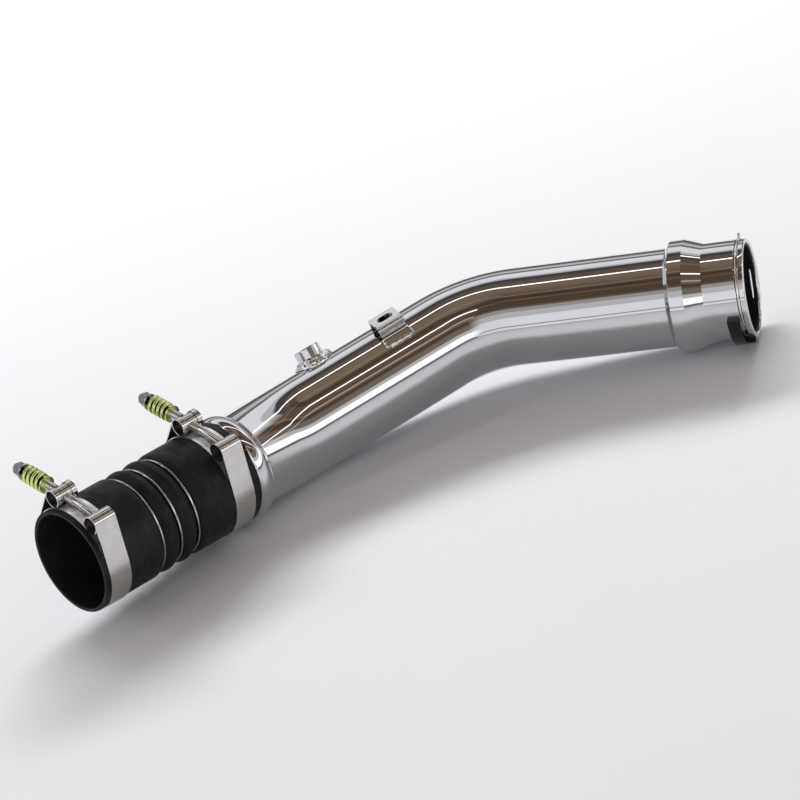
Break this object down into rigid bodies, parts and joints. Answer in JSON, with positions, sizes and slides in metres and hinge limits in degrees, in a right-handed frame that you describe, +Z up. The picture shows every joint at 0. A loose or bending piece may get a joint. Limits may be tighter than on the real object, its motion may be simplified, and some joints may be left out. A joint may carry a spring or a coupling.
{
  "type": "intercooler pipe",
  "caption": "Bright bent charge-air pipe with a rubber hump hose, spring T-bolt clamps, a sensor bung, a bracket and a wire-clip quick-connect socket.",
  "frame": {"origin": "middle of the footprint, on the surface that the pipe lies on", "axes": "+X runs from the hose's free end to the socket's mouth, +Z is up as the pipe lies, and +Y completes the frame"},
  "size_m": [0.5944, 0.18, 0.1201],
  "materials": {
    "polished_tube": "mirror-polished tube",
    "polished_collar": "polished turned steel",
    "hose_rubber": "matt black rubber with a fine texture",
    "ring_wire": "bright drawn wire",
    "clamp_strap": "bright rolled strip",
    "clamp_bridge": "bright thin strip",
    "clamp_steel": "plain cold-formed steel",
    "sleeve_steel": "turned steel",
    "spring_steel": "yellow-green passivated spring wire",
    "nut_steel": "plain steel",
    "boss_steel": "turned steel",
    "weld_metal": "bright weld bead",
    "bracket_steel": "polished sheet",
    "seal_rubber": "smooth black rubber",
    "clip_wire": "bright spring wire",
    "retainer_plastic": "black moulded plastic"
  },
  "bodies": {
    "root": {"pipe_tube": "polished_tube", "hose": "hose_rubber", "wire_ring_1": "ring_wire", "wire_ring_2": "ring_wire", "wire_ring_3": "ring_wire", "clamp_1_band": "clamp_strap", "clamp_1_liner": "clamp_bridge", "clamp_1_t_bolt": "clamp_steel", "clamp_1_trunnion": "clamp_steel", "clamp_1_sleeve": "sleeve_steel", "clamp_1_spring": "spring_steel", "clamp_1_washer": "nut_steel", "clamp_1_lock_nut": "nut_steel", "clamp_2_band": "clamp_strap", "clamp_2_liner": "clamp_bridge", "clamp_2_t_bolt": "clamp_steel", "clamp_2_trunnion": "clamp_steel", "clamp_2_sleeve": "sleeve_steel", "clamp_2_spring": "spring_steel", "clamp_2_washer": "nut_steel", "clamp_2_lock_nut": "nut_steel", "sensor_bung": "boss_steel", "bung_weld": "weld_metal", "bracket": "bracket_steel", "bracket_welds": "weld_metal", "socket_collar": "polished_collar", "bore_seal": "seal_rubber", "wire_clip": "clip_wire", "clip_retainer": "retainer_plastic"}
  },
  "joints": []
}
